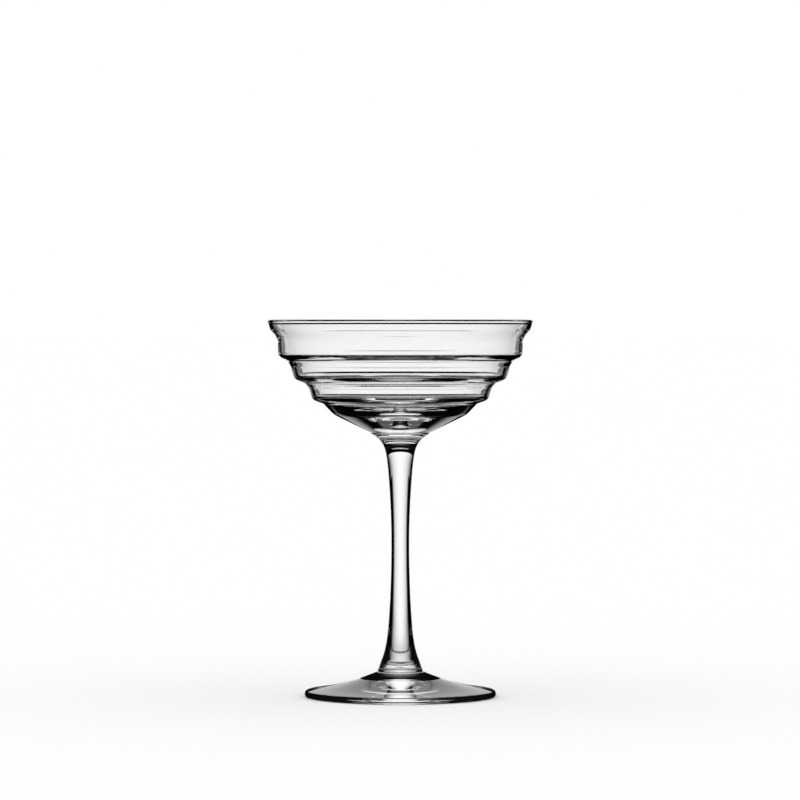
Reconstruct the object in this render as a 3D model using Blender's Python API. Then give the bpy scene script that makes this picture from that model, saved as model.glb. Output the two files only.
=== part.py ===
"""A stepped cocktail coupe in clear glass: a blown bowl, a drawn stem and a pressed foot.

The three pieces are turned about +Z. The foot stands on the origin, and each piece above it rests on
the flat weld face of the one below, across the weld gap. Heights inside a piece count from its own
lower weld face, or from the table under the foot.
"""

import math
from collections import namedtuple

import bmesh
import bpy
from mathutils import Vector

MM = 0.001

# Welds: the stem's two ends set the width of the weld faces
WELD_GAP = 0.3 * MM
STEM_TOP_RADIUS = 12.0 * MM
STEM_BASE_RADIUS = 8.9 * MM

# Bowl: outer radii, and drops from the lip down to the weld face
LIP_RADIUS = 55.0 * MM
BEAD_RADIUS = 1.0 * MM
BEAD_WRAP = math.radians(40)
LIP_DROP = 4.5 * MM
FLARE_RADIUS = 53.8 * MM
FLARE_DROP = 3.5 * MM
FLARE_ROUNDING = 4.0 * MM
COLLAR_RADIUS = 50.8 * MM
COLLAR_DROP = 7.1 * MM
COLLAR_LEDGE_DROP = 2.3 * MM
COLLAR_WALL = 1.5 * MM
BELLY_RADIUS = 31.9 * MM
BELLY_DROP = 4.55 * MM
BELLY_WALL = 2.6 * MM
KNUCKLE_RADIUS = 27.5 * MM
KNUCKLE_DROP = 7.5 * MM
KNUCKLE_ROUNDING = 8.0 * MM
BOWL_BASE_THICKNESS = 6.2 * MM
BOWL_FLOOR_RADIUS = 8.0 * MM
BOWL_FLOOR_ROUNDING = 74.0 * MM
BOWL_HEEL_RADIUS = 26.3 * MM
BOWL_HEEL_HEIGHT = 9.8 * MM
BOWL_HEEL_ROUNDING = 16.5 * MM
LEDGE_ROUNDING = 3.3 * MM
SHOULDER_ROUNDING = 2.0 * MM
CREASE_ROUNDING = 0.6 * MM
INNER_ROUNDING_LEAST = 1.0 * MM

# A tier starts at the crease under the ledge above it, turns over a shoulder, runs down and draws in
Tier = namedtuple("Tier", "crease_radius wall_radius base_radius shoulder_drop wall_drop ledge_drop wall")
MIDDLE_TIER = Tier(
    crease_radius=46.6 * MM,
    wall_radius=45.3 * MM,
    base_radius=44.25 * MM,
    shoulder_drop=2.3 * MM,
    wall_drop=4.8 * MM,
    ledge_drop=2.0 * MM,
    wall=2.1 * MM,
)
LOWER_TIER = Tier(
    crease_radius=39.6 * MM,
    wall_radius=38.1 * MM,
    base_radius=36.6 * MM,
    shoulder_drop=1.7 * MM,
    wall_drop=4.95 * MM,
    ledge_drop=1.7 * MM,
    wall=2.2 * MM,
)
TIERS = (MIDDLE_TIER, LOWER_TIER)

# Stem: a slow taper from the waist both ways, and a quick flare within the reach of each end
STEM_LENGTH = 97.0 * MM
STEM_WAIST_HEIGHT = 50.7 * MM
STEM_WAIST_RADIUS = 3.72 * MM
STEM_TOP_TAPER = 3.0 * MM
STEM_TOP_REACH = 3.1 * MM
STEM_TOP_EASE = 1.15
STEM_BASE_TAPER = 2.8 * MM
STEM_BASE_REACH = 6.4 * MM
STEM_BASE_EASE = 1.4

# Foot: a boss under the stem, two slopes blended into one curve, a round edge and a hollow underneath
FOOT_HEIGHT = 11.9 * MM
FOOT_RADIUS = 39.65 * MM
BOSS_LEDGE = 0.4 * MM
BOSS_HEIGHT = 1.35 * MM
BOSS_ROUNDING = 0.3 * MM
FOOT_BEND_RADIUS = 22.6 * MM
FOOT_BEND_HEIGHT = 5.05 * MM
FOOT_BEND_ROUNDING = 95.0 * MM
FOOT_EDGE_HEIGHT = 2.6 * MM
FOOT_EDGE_ROUNDING = 1.25 * MM
CONTACT_RING_WIDTH = 5.6 * MM
FOOT_HOLLOW = 1.3 * MM

# Facets
SIDES = 40
ARC_STEP = math.radians(24)
DOME_STEPS = 8
HALF_STEM_STEPS = 12
MOST_OF_HALF_A_RUN = 0.49
MERGE_DISTANCE = 0.01 * MM
SHARP_ANGLE = math.radians(40)


def arc(centre, start, end, steps):
    """Points on the circle about centre, from start to end."""
    spoke = start - centre
    radius = spoke.length
    return [centre + radius * spoke.slerp(end - centre, step / steps) for step in range(steps + 1)]


def dome(pole_height, edge_radius, edge_height):
    """Points from a round cap's pole on the axis out to its edge."""
    rise = edge_height - pole_height
    radius = (edge_radius**2 + rise**2) / (2 * rise)
    centre = Vector((0, pole_height + radius))
    return arc(centre, Vector((0, pole_height)), Vector((edge_radius, edge_height)), DOME_STEPS)


def rounded(corners):
    """Points along (spot, rounding) corners, where each rounding is limited by the runs beside it."""
    points = []
    for index, (spot, rounding) in enumerate(corners):
        if rounding == 0:
            points.append(spot)
            continue
        back = corners[index - 1][0] - spot
        ahead = corners[index + 1][0] - spot
        half_angle = back.angle(ahead) / 2
        room = MOST_OF_HALF_A_RUN * min(back.length, ahead.length)
        reach = min(rounding / math.tan(half_angle), room)
        start = spot + back.normalized() * reach
        end = spot + ahead.normalized() * reach
        middle = (back.normalized() + ahead.normalized()).normalized()
        steps = max(2, math.ceil((math.pi - 2 * half_angle) / ARC_STEP))
        points += arc(spot + middle * (reach / math.cos(half_angle)), start, end, steps)
    return points


def inset(corners, walls):
    """The inside of a run of outer corners that goes down, each corner set in by its own wall."""
    inside = []
    for index, wall in enumerate(walls, start=1):
        spot, rounding = corners[index]
        above = (spot - corners[index - 1][0]).normalized()
        below = (corners[index + 1][0] - spot).normalized()
        normal_above = Vector((above.y, -above.x))
        normal_below = Vector((below.y, -below.x))
        mitre = (normal_above + normal_below) / (1 + normal_above.dot(normal_below))
        turns_inwards = above.cross(below) < 0
        inner_rounding = rounding - wall if turns_inwards else rounding + wall
        inside.append((spot + mitre * wall, max(inner_rounding, INNER_ROUNDING_LEAST)))
    return inside


def turned(name, outline, height, holder):
    """One closed solid, turned about Z from an outline that starts and ends on the axis."""
    form = bmesh.new()
    corners = [form.verts.new((point.x, 0, point.y)) for point in outline]
    edges = [form.edges.new(pair) for pair in zip(corners, corners[1:])]
    bmesh.ops.spin(
        form,
        geom=corners + edges,
        axis=(0, 0, 1),
        angle=2 * math.pi,
        steps=SIDES,
        use_merge=True,
    )
    bmesh.ops.remove_doubles(form, verts=form.verts, dist=MERGE_DISTANCE)
    bmesh.ops.recalc_face_normals(form, faces=form.faces)
    mesh = bpy.data.meshes.new(name)
    form.to_mesh(mesh)
    form.free()
    mesh.shade_smooth()
    mesh.set_sharp_from_angle(angle=SHARP_ANGLE)
    mesh.materials.append(clear_glass(name + "_glass"))
    piece = bpy.data.objects.new(name, mesh)
    piece.location.z = height
    piece.parent = holder
    bpy.context.scene.collection.objects.link(piece)


def clear_glass(name):
    """Colourless, polished glass."""
    material = bpy.data.materials.new(name)
    material.use_nodes = True
    shader = material.node_tree.nodes["Principled BSDF"]
    shader.inputs["Base Color"].default_value = (0.97, 0.98, 0.98, 1)
    shader.inputs["Roughness"].default_value = 0.02
    shader.inputs["Metallic"].default_value = 0
    shader.inputs["IOR"].default_value = 1.52
    shader.inputs["Transmission Weight"].default_value = 1
    return material


def bowl_corners(bowl_height):
    """(spot, rounding) corners of the bowl's outside from under the bead to the weld, and their walls."""
    height = bowl_height - BEAD_RADIUS * (1 + math.sin(BEAD_WRAP))
    bead_side = LIP_RADIUS - BEAD_RADIUS * (1 - math.cos(BEAD_WRAP))
    corners = [(Vector((bead_side, height)), 0)]
    walls = []

    def step_down(radius, to_height, rounding, wall):
        corners.append((Vector((radius, to_height)), rounding))
        walls.append(wall)
        return to_height

    height = step_down(FLARE_RADIUS, bowl_height - LIP_DROP, FLARE_ROUNDING, COLLAR_WALL)
    height = step_down(COLLAR_RADIUS, height - FLARE_DROP, FLARE_ROUNDING, COLLAR_WALL)
    height = step_down(COLLAR_RADIUS, height - COLLAR_DROP, LEDGE_ROUNDING, COLLAR_WALL)
    drop = COLLAR_LEDGE_DROP
    for tier in TIERS:
        height = step_down(tier.crease_radius, height - drop, CREASE_ROUNDING, tier.wall)
        height = step_down(tier.wall_radius, height - tier.shoulder_drop, SHOULDER_ROUNDING, tier.wall)
        height = step_down(tier.base_radius, height - tier.wall_drop, LEDGE_ROUNDING, tier.wall)
        drop = tier.ledge_drop
    step_down(BELLY_RADIUS, height - drop, CREASE_ROUNDING, BELLY_WALL)
    corners.append((Vector((KNUCKLE_RADIUS, KNUCKLE_DROP)), KNUCKLE_ROUNDING))
    corners.append((Vector((STEM_TOP_RADIUS, 0)), 0))
    return corners, walls


def bowl_outline(bowl_height):
    """From the bottom of the inside, up, over the bead, down the outside and in across the weld face."""
    corners, walls = bowl_corners(bowl_height)
    inside = inset(corners, walls)
    bead_centre = Vector((LIP_RADIUS - BEAD_RADIUS, bowl_height - BEAD_RADIUS))
    bead_top = bead_centre + Vector((0, BEAD_RADIUS))
    bead_outside = corners[0][0]
    bead_inside = Vector((2 * bead_centre.x - bead_outside.x, bead_outside.y))
    bead_steps = math.ceil((math.pi / 2 + BEAD_WRAP) / ARC_STEP)
    floor = [
        (Vector((0, BOWL_BASE_THICKNESS)), 0),
        (Vector((BOWL_FLOOR_RADIUS, BOWL_BASE_THICKNESS)), BOWL_FLOOR_ROUNDING),
        (Vector((BOWL_HEEL_RADIUS, BOWL_HEEL_HEIGHT)), BOWL_HEEL_ROUNDING),
    ]
    outline = rounded(floor + inside[::-1] + [(bead_inside, 0)])
    outline += arc(bead_centre, bead_inside, bead_top, bead_steps)[1:]
    outline += arc(bead_centre, bead_top, bead_outside, bead_steps)[1:]
    outline += rounded(corners)[1:]
    return outline + [Vector((0, 0))]


def half_stem(span, end_radius, taper, reach, ease):
    """(radius, distance from the waist) pairs from the waist to one end, closer together at the end."""
    flare = end_radius - STEM_WAIST_RADIUS - taper
    pairs = []
    for step in range(HALF_STEM_STEPS + 1):
        along = span * (1 - (1 - step / HALF_STEM_STEPS) ** 2)
        swell = flare * math.exp(-(((span - along) / reach) ** ease))
        pairs.append((STEM_WAIST_RADIUS + taper * (along / span) ** 2 + swell, along))
    return pairs


def stem_outline():
    """From the top weld face down the stem's side to its base weld face."""
    top_span = STEM_LENGTH - STEM_WAIST_HEIGHT
    above = half_stem(top_span, STEM_TOP_RADIUS, STEM_TOP_TAPER, STEM_TOP_REACH, STEM_TOP_EASE)
    below = half_stem(
        STEM_WAIST_HEIGHT, STEM_BASE_RADIUS, STEM_BASE_TAPER, STEM_BASE_REACH, STEM_BASE_EASE
    )
    side = [Vector((radius, STEM_WAIST_HEIGHT + along)) for radius, along in reversed(above)]
    side += [Vector((radius, STEM_WAIST_HEIGHT - along)) for radius, along in below[1:]]
    return [Vector((0, STEM_LENGTH))] + side + [Vector((0, 0))]


def foot_outline():
    """From the boss down over the foot's top, round its edge, across the contact ring and up the hollow."""
    boss_radius = STEM_BASE_RADIUS + BOSS_LEDGE
    corners = [
        (Vector((0, FOOT_HEIGHT)), 0),
        (Vector((boss_radius, FOOT_HEIGHT)), BOSS_ROUNDING),
        (Vector((boss_radius, FOOT_HEIGHT - BOSS_HEIGHT)), BOSS_ROUNDING),
        (Vector((FOOT_BEND_RADIUS, FOOT_BEND_HEIGHT)), FOOT_BEND_ROUNDING),
        (Vector((FOOT_RADIUS, FOOT_EDGE_HEIGHT)), FOOT_EDGE_ROUNDING),
        (Vector((FOOT_RADIUS, 0)), FOOT_EDGE_ROUNDING),
        (Vector((FOOT_RADIUS - CONTACT_RING_WIDTH, 0)), 0),
    ]
    return rounded(corners) + dome(FOOT_HOLLOW, FOOT_RADIUS - CONTACT_RING_WIDTH, 0)[-2::-1]


for old in list(bpy.data.objects):
    bpy.data.objects.remove(old)

coupe = bpy.data.objects.new("coupe", None)
bpy.context.scene.collection.objects.link(coupe)

bowl_height = LIP_DROP + FLARE_DROP + COLLAR_DROP + COLLAR_LEDGE_DROP + BELLY_DROP + KNUCKLE_DROP
bowl_height += sum(tier.shoulder_drop + tier.wall_drop + tier.ledge_drop for tier in TIERS)
stem_height = FOOT_HEIGHT + WELD_GAP
turned("foot", foot_outline(), 0, coupe)
turned("stem", stem_outline(), stem_height, coupe)
turned("bowl", bowl_outline(bowl_height), stem_height + STEM_LENGTH + WELD_GAP, coupe)
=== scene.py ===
import math
from collections import namedtuple

import bmesh
import bpy
from mathutils import Matrix, Vector


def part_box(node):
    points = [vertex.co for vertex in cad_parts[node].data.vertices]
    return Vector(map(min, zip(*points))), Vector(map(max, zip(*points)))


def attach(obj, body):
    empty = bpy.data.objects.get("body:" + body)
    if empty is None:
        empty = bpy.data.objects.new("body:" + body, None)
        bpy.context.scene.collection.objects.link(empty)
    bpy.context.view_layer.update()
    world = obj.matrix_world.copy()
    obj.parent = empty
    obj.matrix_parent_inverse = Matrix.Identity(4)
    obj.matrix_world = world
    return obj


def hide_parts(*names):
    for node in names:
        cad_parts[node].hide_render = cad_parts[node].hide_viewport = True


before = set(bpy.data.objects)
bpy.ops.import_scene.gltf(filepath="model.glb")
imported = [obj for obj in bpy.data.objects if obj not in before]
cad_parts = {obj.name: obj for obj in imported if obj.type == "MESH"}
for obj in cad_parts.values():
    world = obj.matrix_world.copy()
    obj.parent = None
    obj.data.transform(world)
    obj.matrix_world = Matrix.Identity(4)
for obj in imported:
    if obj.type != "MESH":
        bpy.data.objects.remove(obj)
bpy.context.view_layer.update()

# Camera: a long lens about 1.8 m in front of the glass and level with its lip, tipped down one degree.
# The lip is seen edge on, and the far and near sides of the bowl lie one behind the other. Light goes
# through many surfaces here, and the denoiser works from colour alone, which keeps their edges clean.
MM = 0.001
CAMERA_SPOT = Vector((0, -1790, 155.5)) * MM
AIM = Vector((-0.12, 0, 123.1)) * MM
scene = bpy.context.scene
camera = bpy.data.objects.new("camera", bpy.data.cameras.new("camera"))
camera.data.sensor_width = 36
camera.data.lens = 194.4
camera.location = CAMERA_SPOT
camera.rotation_euler = (AIM - CAMERA_SPOT).to_track_quat("-Z", "Y").to_euler()
scene.collection.objects.link(camera)
scene.camera = camera
scene.view_settings.view_transform = "Standard"
scene.cycles.max_bounces = 32
scene.cycles.transmission_bounces = 32
scene.cycles.glossy_bounces = 16
scene.cycles.transparent_max_bounces = 32
scene.cycles.denoising_input_passes = "RGB"

# White room and table: an even white room lights a wide matt white table from all sides,
# so the table melts into the background and keeps the soft shadow under the foot.
TABLE_HALF_SIZE = 40
TABLE_WHITE = (0.996, 0.996, 0.996, 1)
room = bpy.data.worlds.new("white_room")
room.use_nodes = True
room.node_tree.nodes["Background"].inputs["Color"].default_value = (1, 1, 1, 1)
room.node_tree.nodes["Background"].inputs["Strength"].default_value = 1
scene.world = room


def placed(name, form, *materials):
    """An object in the scene from a finished bmesh."""
    mesh = bpy.data.meshes.new(name)
    form.to_mesh(mesh)
    form.free()
    for material in materials:
        mesh.materials.append(material)
    thing = bpy.data.objects.new(name, mesh)
    scene.collection.objects.link(thing)
    return thing


matt_white = bpy.data.materials.new("matt_white")
matt_white.use_nodes = True
paint = matt_white.node_tree.nodes["Principled BSDF"].inputs
paint["Base Color"].default_value = TABLE_WHITE
paint["Roughness"].default_value = 1
paint["Specular IOR Level"].default_value = 0
form = bmesh.new()
bmesh.ops.create_grid(form, x_segments=1, y_segments=1, size=TABLE_HALF_SIZE)
table = placed("table", form, matt_white)
table.visible_glossy = False
table.visible_transmission = False

# Light box for the glass: a white card behind it under a honeycomb grid, a black shelf, white underneath,
# behind the bowl's base, black rings set close round the foot's edge and boss as painted shade there, and
# black cloth all round. Only the glass sees it, and it turns with the camera, as it would round a glass on
# a turntable.
BOX_CENTRE = Vector((0, 0, 122.9)) * MM
CLOTH_RADIUS = 3
CLOTH_STRENGTH = 0.004


def glowing(name):
    """A material that only glows, with its emission node."""
    material = bpy.data.materials.new(name)
    material.use_nodes = True
    tree = material.node_tree
    tree.nodes.clear()
    glow = tree.nodes.new("ShaderNodeEmission")
    output = tree.nodes.new("ShaderNodeOutputMaterial")
    tree.links.new(glow.outputs["Emission"], output.inputs["Surface"])
    return material, glow


def spot_on(tree):
    """The X, Y and Z of a spot on the object, by name."""
    spot = tree.nodes.new("ShaderNodeSeparateXYZ")
    tree.links.new(tree.nodes.new("ShaderNodeTexCoord").outputs["Object"], spot.inputs["Vector"])
    return spot.outputs


def eased(tree, value, low, high, at_low=0.0, at_high=1.0):
    """A value eased from at_low where it is low to at_high where it is high, a number or another value."""
    ramp = tree.nodes.new("ShaderNodeMapRange")
    ramp.interpolation_type = "SMOOTHSTEP"
    ramp.inputs["From Min"].default_value = low
    if isinstance(high, bpy.types.NodeSocket):
        tree.links.new(high, ramp.inputs["From Max"])
    else:
        ramp.inputs["From Max"].default_value = high
    ramp.inputs["To Min"].default_value = at_low
    ramp.inputs["To Max"].default_value = at_high
    tree.links.new(value, ramp.inputs["Value"])
    return ramp.outputs["Result"]


def combined(tree, operation, *values):
    """The values put through one math node."""
    node = tree.nodes.new("ShaderNodeMath")
    node.operation = operation
    for value, socket in zip(values, node.inputs):
        tree.links.new(value, socket)
    return node.outputs["Value"]


def box_panel(name, form, material, tipping=True):
    """A panel of the light box, in place round the glass, turning and if asked tipping with the camera."""
    panel = placed(name, form, material)
    panel.location = BOX_CENTRE
    track = panel.constraints.new("TRACK_TO" if tipping else "LOCKED_TRACK")
    track.target = camera
    track.track_axis = "TRACK_NEGATIVE_Y"
    if tipping:
        track.up_axis = "UP_Z"
    else:
        track.lock_axis = "LOCK_Z"
    panel.visible_camera = False
    panel.visible_diffuse = False
    panel.visible_shadow = False


black_cloth, cloth_glow = glowing("black_cloth")
cloth_glow.inputs["Strength"].default_value = CLOTH_STRENGTH
form = bmesh.new()
bmesh.ops.create_icosphere(form, subdivisions=3, radius=CLOTH_RADIUS)
box_panel("black_cloth", form, black_cloth)

# Heights on the card and on the shelf count from the box's centre.
CARD_STRENGTH = 1.08
CARD_HALF_SIZE = 500 * MM
CARD_BEHIND = 150 * MM
CARD_TOP = 72 * MM
CARD_EDGE = 4 * MM
BOWL_HALF_WIDTH_TOP = 76 * MM
BOWL_HALF_WIDTH_LOW = 66 * MM
BOWL_WIDEST = 25 * MM
SHELF_TOP = -11 * MM
SHELF_BLUR = 1 * MM
STEM_FADE_START = 2 * MM
STEM_FADE_TOP = 160 * MM
STEM_FADE_LOW = 110 * MM
STEM_BASE_TOP = -88 * MM
STEM_BASE_LOW = -118 * MM
FOOT_DIM = 0.7
FOOT_DIM_TOP = -110 * MM
FOOT_DIM_LOW = -160 * MM
GRID_LOW = -165 * MM
GRID_EDGE = 10 * MM
GRID_CLEAR = 0.11
GRID_SHUT = 0.2
white_card, card_glow = glowing("white_card")
card_tree = white_card.node_tree
card_spot = spot_on(card_tree)
up = card_spot["Z"]
across = combined(card_tree, "ABSOLUTE", card_spot["X"])
half_width = eased(card_tree, up, SHELF_TOP, BOWL_WIDEST, BOWL_HALF_WIDTH_LOW, BOWL_HALF_WIDTH_TOP)
past_edge = combined(card_tree, "SUBTRACT", across, half_width)
behind_bowl = eased(card_tree, past_edge, -CARD_EDGE, CARD_EDGE, CARD_STRENGTH, 0)
fade_end = eased(card_tree, up, STEM_BASE_LOW, STEM_BASE_TOP, STEM_FADE_LOW, STEM_FADE_TOP)
behind_stem = eased(card_tree, across, STEM_FADE_START, fade_end, CARD_STRENGTH, 0)
bowl_or_stem = card_tree.nodes.new("ShaderNodeMix")
over_shelf = eased(card_tree, up, SHELF_TOP - SHELF_BLUR, SHELF_TOP + SHELF_BLUR)
card_tree.links.new(over_shelf, bowl_or_stem.inputs["Factor"])
card_tree.links.new(behind_stem, bowl_or_stem.inputs["A"])
card_tree.links.new(behind_bowl, bowl_or_stem.inputs["B"])
below_top = eased(card_tree, up, CARD_TOP - CARD_EDGE, CARD_TOP + CARD_EDGE, 1, 0)
dimmed_low = eased(card_tree, up, FOOT_DIM_LOW, FOOT_DIM_TOP, FOOT_DIM, 1)
honeycomb = card_tree.nodes.new("ShaderNodeLayerWeight")
honeycomb.inputs["Blend"].default_value = 0.5
through_grid = eased(card_tree, honeycomb.outputs["Facing"], GRID_CLEAR, GRID_SHUT, 1, 0)
under_grid = eased(card_tree, up, GRID_LOW - GRID_EDGE, GRID_LOW, 1, 0)
shade = bowl_or_stem.outputs["Result"]
for veil in (below_top, dimmed_low, combined(card_tree, "MAXIMUM", through_grid, under_grid)):
    shade = combined(card_tree, "MULTIPLY", shade, veil)
card_tree.links.new(shade, card_glow.inputs["Strength"])
form = bmesh.new()
sheet = bmesh.ops.create_grid(form, x_segments=1, y_segments=1, size=CARD_HALF_SIZE)
upright = Matrix.Rotation(math.pi / 2, 3, "X")
bmesh.ops.rotate(form, verts=sheet["verts"], cent=(0, 0, 0), matrix=upright)
bmesh.ops.translate(form, verts=sheet["verts"], vec=(0, CARD_BEHIND, 0))
box_panel("white_card", form, white_card)

SHELF_UNDERSIDE = -16 * MM
SHELF_FRONT = 20.5 * MM
SHELF_WIDTH = 1000 * MM
WHITE_PAINT = 0.1 * MM
WHITE_PAINT_FULL = 0.01 * MM
shelf, shelf_glow = glowing("shelf")
shelf_tree = shelf.node_tree
shelf_spot = spot_on(shelf_tree)
across = combined(shelf_tree, "ABSOLUTE", shelf_spot["X"])
sideways = combined(shelf_tree, "DIVIDE", across, shelf_spot["Y"])
fade_from = STEM_FADE_START / CARD_BEHIND
fade_to = STEM_FADE_TOP / CARD_BEHIND
white_below = eased(shelf_tree, sideways, fade_from, fade_to, CARD_STRENGTH, 0)
paint_from = SHELF_UNDERSIDE + WHITE_PAINT_FULL
paint_to = SHELF_UNDERSIDE + WHITE_PAINT
underside = eased(shelf_tree, shelf_spot["Z"], paint_from, paint_to, 1, 0)
shelf_shade = combined(shelf_tree, "MULTIPLY", white_below, underside)
shelf_tree.links.new(shelf_shade, shelf_glow.inputs["Strength"])
form = bmesh.new()
slab = bmesh.ops.create_cube(form, size=1)
slab_size = (SHELF_WIDTH, CARD_BEHIND - SHELF_FRONT, SHELF_TOP - SHELF_UNDERSIDE)
slab_middle = (0, (CARD_BEHIND + SHELF_FRONT) / 2, (SHELF_TOP + SHELF_UNDERSIDE) / 2)
bmesh.ops.scale(form, verts=slab["verts"], vec=slab_size)
bmesh.ops.translate(form, verts=slab["verts"], vec=slab_middle)
box_panel("shelf", form, shelf)


def painted_shade_ring(name, low_radius, low, top_radius, top, gap=0):
    """A black ring round the axis between two heights above the table, with a gap at the back, set close to
    the glass as painted shade.
    """
    form = bmesh.new()
    roll = bmesh.ops.create_cone(form, segments=96, radius1=low_radius, radius2=top_radius, depth=top - low)
    at_back = [spot for spot in roll["verts"] if spot.co.y > 0 and abs(spot.co.x) < gap / 2]
    bmesh.ops.translate(form, verts=roll["verts"], vec=(0, 0, (low + top) / 2 - BOX_CENTRE.z))
    bmesh.ops.delete(form, geom=at_back, context="VERTS")
    box_panel(name, form, black_cloth, tipping=False)


# Painted shade: black rings a fraction of a mm from the foot's rounded edge, just above it and round the
# boss. Only the glass sees them, and they darken its edges there.
EDGE_STRIP = 39.8 * MM
SIDE_STRIP = 40.3 * MM
STRIP_MEETING = 2.8 * MM
painted_shade_ring("painted_shade_foot_edge", EDGE_STRIP, -4 * MM, EDGE_STRIP, STRIP_MEETING)
painted_shade_ring("painted_shade_above_foot", SIDE_STRIP, STRIP_MEETING, SIDE_STRIP, top=5.5 * MM, gap=44 * MM)
painted_shade_ring("painted_shade_boss_ring", low_radius=16.7 * MM, low=7.85 * MM, top_radius=9.8 * MM, top=10.55 * MM)

# Bowl: soda-lime glass blown into a turning mould, which gives the outside its round-shouldered steps. The
# inside follows them behind a wall that gets thicker towards the belly and ends in a thick base. The lip is
# cut and fire-polished into a bead. Lines are drawn in mm.
SIDES = 200
STEP = 0.6 * MM
LONG_EDGE = 1.5 * STEP
ROUND_STEP = math.radians(5)
FEWEST_ROUND_STEPS = 3
MERGE_DISTANCE = 0.001 * MM


def drawn(form, corners):
    """A line of edges in the XZ plane through (radius, height, rounding) corners in mm, bevelled round."""
    spots = [form.verts.new((radius * MM, 0, height * MM)) for radius, height, rounding in corners]
    for pair in zip(spots, spots[1:]):
        form.edges.new(pair)
    runs = [b.co - a.co for a, b in zip(spots, spots[1:])]
    for before, after, spot, corner in zip(runs, runs[1:], spots[1:], corners[1:]):
        rounding = corner[2] * MM
        if rounding == 0:
            continue
        turn = before.angle(after)
        round_steps = math.ceil(max(turn / ROUND_STEP, turn * rounding / STEP))
        bmesh.ops.bevel(
            form,
            geom=[spot],
            offset=rounding * math.tan(turn / 2),
            segments=max(FEWEST_ROUND_STEPS, round_steps),
            profile=0.5,
            affect="VERTICES",
            material=-1,
        )


def turned(form):
    """The line of edges, cut into short steps and turned about the glass's axis."""
    for edge in [edge for edge in form.edges if edge.calc_length() > LONG_EDGE]:
        bmesh.ops.subdivide_edges(form, edges=[edge], cuts=math.ceil(edge.calc_length() / STEP) - 1)
    bmesh.ops.spin(
        form,
        geom=form.verts[:] + form.edges[:],
        axis=(0, 0, 1),
        angle=2 * math.pi,
        steps=SIDES,
        use_merge=True,
    )
    bmesh.ops.remove_doubles(form, verts=form.verts, dist=MERGE_DISTANCE)
    bmesh.ops.recalc_face_normals(form, faces=form.faces)


fused = bpy.data.materials.new("fused_joint")
fused.use_nodes = True
fused.node_tree.nodes.clear()
see_through = fused.node_tree.nodes.new("ShaderNodeBsdfTransparent")
joint_output = fused.node_tree.nodes.new("ShaderNodeOutputMaterial")
fused.node_tree.links.new(see_through.outputs["BSDF"], joint_output.inputs["Surface"])


def glass_piece(name, node, form, glass, joints):
    """Smooth glass in place of a CAD node, with its flat faces at the joints fused to the next piece."""
    for face in form.faces:
        face.smooth = True
        if any(all(abs(spot.co.z - joint) < MERGE_DISTANCE for spot in face.verts) for joint in joints):
            face.material_index = 1
    for edge in form.edges:
        if len({face.material_index for face in edge.link_faces}) == 2:
            edge.smooth = False
    piece = placed(name, form, glass, fused)
    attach(piece, "root")
    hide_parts(node)


def glassy(name):
    """Clear glass, with its tree and its shader's sockets."""
    material = bpy.data.materials.new(name)
    material.use_nodes = True
    sockets = material.node_tree.nodes["Principled BSDF"].inputs
    sockets["Base Color"].default_value = (1, 1, 1, 1)
    sockets["IOR"].default_value = 1.52
    sockets["Transmission Weight"].default_value = 1
    sockets["Roughness"].default_value = 0
    return material, material.node_tree, sockets


def rippled(tree, sockets, cells, depth):
    """Shallow ripples in the surface, with cells per metre along X, Y and Z."""
    squeeze = tree.nodes.new("ShaderNodeMapping")
    squeeze.inputs["Scale"].default_value = cells
    tree.links.new(tree.nodes.new("ShaderNodeTexCoord").outputs["Object"], squeeze.inputs["Vector"])
    ripples = tree.nodes.new("ShaderNodeTexNoise")
    ripples.inputs["Scale"].default_value = 1
    ripples.inputs["Detail"].default_value = 1
    tree.links.new(squeeze.outputs["Vector"], ripples.inputs["Vector"])
    bump = tree.nodes.new("ShaderNodeBump")
    bump.inputs["Strength"].default_value = 1
    bump.inputs["Distance"].default_value = depth
    tree.links.new(ripples.outputs["Fac"], bump.inputs["Height"])
    tree.links.new(bump.outputs["Normal"], sockets["Normal"])


def set_in(spots, walls):
    """The spots inside a run of spots that goes down, without its ends, each set in by its own wall."""
    inner = []
    for before, spot, after, wall in zip(spots, spots[1:], spots[2:], walls):
        above = (spot - before).normalized()
        below = (after - spot).normalized()
        mitre = Vector((above.y + below.y, -above.x - below.x)) / (1 + above.dot(below))
        inner.append(spot + mitre * wall)
    return inner


bowl_low, bowl_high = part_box("bowl")
stem_low, stem_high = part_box("stem")
STEM_JOINT = (bowl_low.z + stem_high.z) / 2
STEM_TOP_RADIUS = 12.0
BOWL_FOOT = bowl_low.z / MM
KNUCKLE_RADIUS = 27.5
KNUCKLE_RISE = 7.5
KNUCKLE_ROUNDING = 8.0
HEEL_RADIUS = 26.32
HEEL_RISE = 9.82
HEEL_ROUNDING = 16.5
FLOOR_RADIUS = 7.98
FLOOR_RISE = 6.24
FLOOR_ROUNDING = 74
LIP = bowl_high.z / MM
LIP_RADIUS = 55.0
BEAD = 1.0
BEAD_CUT = BEAD * math.tan(math.radians(20))
NECK = 0.3
NECK_DROP = 1.72
NECK_ROUNDING = 0.2
BowlCorner = namedtuple("BowlCorner", "radius drop wall rounding inner_rounding")
LEDGE = (3.3, 0.8)
CREASE = (0.6, 2.5)
SHOULDER = (2.0, 3.5)
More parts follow.
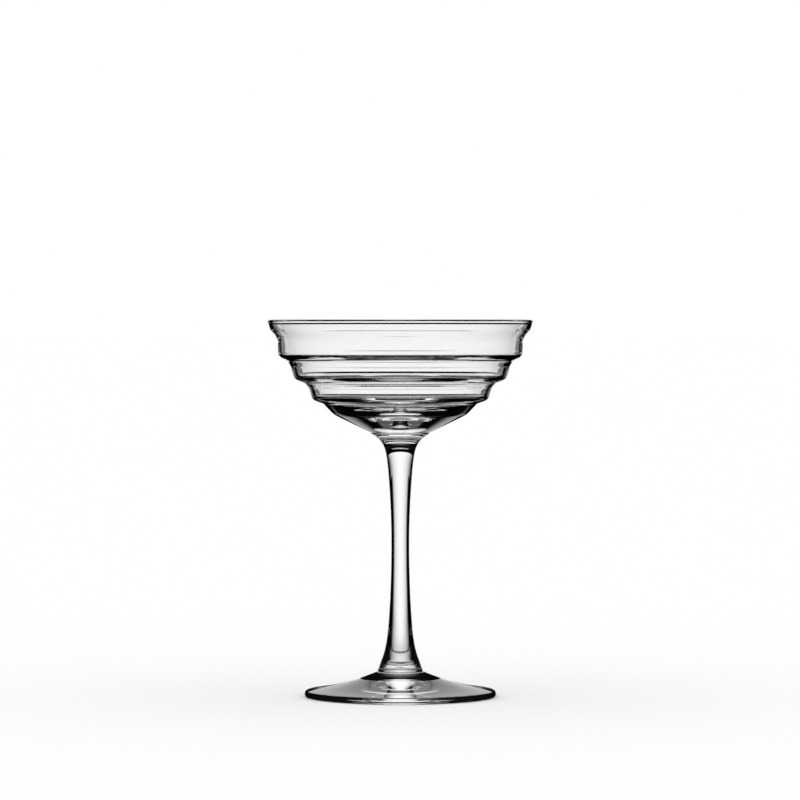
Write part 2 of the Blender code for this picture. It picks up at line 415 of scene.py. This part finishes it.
bowl_corners = [
    BowlCorner(53.8, 4.5, 1.45, 4.0, 3.5),
    BowlCorner(50.8, 8.0, 1.45, 4.0, 4.5),
    BowlCorner(50.8, 15.1, 1.6, *LEDGE),
    BowlCorner(46.6, 17.4, 1.9, *CREASE),
    BowlCorner(45.3, 19.7, 2.1, *SHOULDER),
    BowlCorner(44.25, 24.5, 2.2, *LEDGE),
    BowlCorner(39.6, 26.5, 2.3, *CREASE),
    BowlCorner(38.1, 28.2, 2.2, *SHOULDER),
    BowlCorner(36.6, 33.15, 2.2, *LEDGE),
    BowlCorner(31.9, 34.85, 2.6, 0.6, 0.5),
]
neck = Vector((LIP_RADIUS - NECK, LIP - NECK_DROP))
knuckle = Vector((KNUCKLE_RADIUS, BOWL_FOOT + KNUCKLE_RISE))
outer = [Vector((corner.radius, LIP - corner.drop)) for corner in bowl_corners]
inner = set_in([neck] + outer + [knuckle], [corner.wall for corner in bowl_corners])
bowl_line = [
    (0, STEM_JOINT / MM, 0),
    (STEM_TOP_RADIUS, STEM_JOINT / MM, 0),
    (STEM_TOP_RADIUS, BOWL_FOOT, 0),
    (*knuckle, KNUCKLE_ROUNDING),
]
bowl_line += [(*spot, corner.rounding) for spot, corner in zip(outer[::-1], bowl_corners[::-1])]
bowl_line += [
    (*neck, NECK_ROUNDING),
    (LIP_RADIUS, LIP - BEAD - BEAD_CUT, BEAD),
    (LIP_RADIUS, LIP, BEAD),
    (LIP_RADIUS - 2 * BEAD, LIP, BEAD),
    (LIP_RADIUS - 2 * BEAD, LIP - BEAD - BEAD_CUT, BEAD),
    (LIP_RADIUS - 2 * BEAD + NECK, LIP - NECK_DROP, NECK_ROUNDING),
]
bowl_line += [(*spot, corner.inner_rounding) for spot, corner in zip(inner, bowl_corners)]
bowl_line += [
    (HEEL_RADIUS, BOWL_FOOT + HEEL_RISE, HEEL_ROUNDING),
    (FLOOR_RADIUS, BOWL_FOOT + FLOOR_RISE, FLOOR_ROUNDING),
    (0, BOWL_FOOT + FLOOR_RISE, 0),
]
form = bmesh.new()
drawn(form, bowl_line)
turned(form)
bowl_glass, bowl_tree, bowl_sockets = glassy("bowl_glass")
rippled(bowl_tree, bowl_sockets, cells=(6, 6, 250), depth=0.0006 * MM)
glass_piece("blown_bowl", "bowl", form, bowl_glass, [STEM_JOINT])

# Stem: one solid gather of the same glass, drawn out hot into a slim waist, with a trumpet top fused to
# the bowl and a flared base fused to the foot. The drawing leaves faint lines along it.
foot_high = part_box("foot")[1]
FOOT_JOINT = (stem_low.z + foot_high.z) / 2
STEM_BASE_RADIUS = 8.9
WAIST_RADIUS = 3.72
WAIST_RISE = 50.7
WAIST_HEIGHT = stem_low.z / MM + WAIST_RISE
span_above = stem_high.z / MM - WAIST_HEIGHT
span_below = WAIST_HEIGHT - stem_low.z / MM


def flared(distance, span, end_radius, taper, reach, ease):
    """The stem's radius in mm at a distance in mm from its waist towards an end that is span away."""
    flare = end_radius - WAIST_RADIUS - taper
    spread = math.exp(-(((span - distance) / reach) ** ease))
    return WAIST_RADIUS + taper * (distance / span) ** 2 + flare * spread


form = bmesh.new()
drawn(form, [(WAIST_RADIUS, stem_high.z / MM, 0), (WAIST_RADIUS, stem_low.z / MM, 0)])
bmesh.ops.subdivide_edges(form, edges=form.edges[:], cuts=round((stem_high.z - stem_low.z) / (STEP / 2)))
for spot in form.verts:
    above = spot.co.z / MM - WAIST_HEIGHT
    if above > 0:
        radius = flared(above, span_above, STEM_TOP_RADIUS, taper=3.0, reach=3.1, ease=1.15)
    else:
        radius = flared(-above, span_below, STEM_BASE_RADIUS, taper=2.8, reach=6.4, ease=1.4)
    spot.co.x = radius * MM
ends = sorted(form.verts, key=lambda spot: spot.co.z)
for end, joint in ((ends[0], FOOT_JOINT), (ends[-1], STEM_JOINT)):
    rim = form.verts.new((end.co.x, 0, joint))
    middle = form.verts.new((0, 0, joint))
    form.edges.new((end, rim))
    form.edges.new((rim, middle))
turned(form)
stem_glass, stem_tree, stem_sockets = glassy("stem_glass")
rippled(stem_tree, stem_sockets, cells=(400, 400, 6), depth=0.0002 * MM)
glass_piece("drawn_stem", "stem", form, stem_glass, [STEM_JOINT, FOOT_JOINT])

# Foot: a gather pressed flat while hot, with a short boss under the stem and a fire-polished edge.
# It stands on a ring under the edge, which is worn by use, round a shallow hollow.
FOOT_TOP = foot_high.z / MM
FOOT_RADIUS = 39.65
EDGE_HEIGHT = 2.6
EDGE_ROUNDING = 1.25
BOSS_LEDGE = 0.4
BOSS_HEIGHT = 1.35
BOSS_ROUNDING = 0.3
BOSS_RADIUS = STEM_BASE_RADIUS + BOSS_LEDGE
BEND_RADIUS = 22.6
BEND_HEIGHT = 5.05
BEND_ROUNDING = 95
CONTACT_RING_WIDTH = 5.6
CONTACT_RADIUS = FOOT_RADIUS - CONTACT_RING_WIDTH
HOLLOW = 1.3
WORN_ROUGHNESS = 0.08
WORN_HEIGHT = 0.01 * MM
UNWORN_HEIGHT = 0.05 * MM
form = bmesh.new()
drawn(form, [(CONTACT_RADIUS, 0, 0), (0, 0, 0)])
bmesh.ops.subdivide_edges(form, edges=form.edges[:], cuts=round(CONTACT_RADIUS * MM / STEP))
for spot in form.verts:
    spot.co.z = HOLLOW * MM * (1 - (spot.co.x / (CONTACT_RADIUS * MM)) ** 2)
top_and_edge = [
    (0, FOOT_JOINT / MM, 0),
    (STEM_BASE_RADIUS, FOOT_JOINT / MM, 0),
    (STEM_BASE_RADIUS, FOOT_TOP, 0),
    (BOSS_RADIUS, FOOT_TOP, BOSS_ROUNDING),
    (BOSS_RADIUS, FOOT_TOP - BOSS_HEIGHT, BOSS_ROUNDING),
    (BEND_RADIUS, BEND_HEIGHT, BEND_ROUNDING),
    (FOOT_RADIUS, EDGE_HEIGHT, EDGE_ROUNDING),
    (FOOT_RADIUS, 0, EDGE_ROUNDING),
    (CONTACT_RADIUS, 0, 0),
]
drawn(form, top_and_edge)
turned(form)
foot_glass, foot_tree, foot_sockets = glassy("foot_glass")
rippled(foot_tree, foot_sockets, cells=(90, 90, 90), depth=0.0006 * MM)
up = spot_on(foot_tree)["Z"]
wear = eased(foot_tree, up, WORN_HEIGHT, UNWORN_HEIGHT, WORN_ROUGHNESS, 0)
foot_tree.links.new(wear, foot_sockets["Roughness"])
glass_piece("pressed_foot", "foot", form, foot_glass, [FOOT_JOINT])
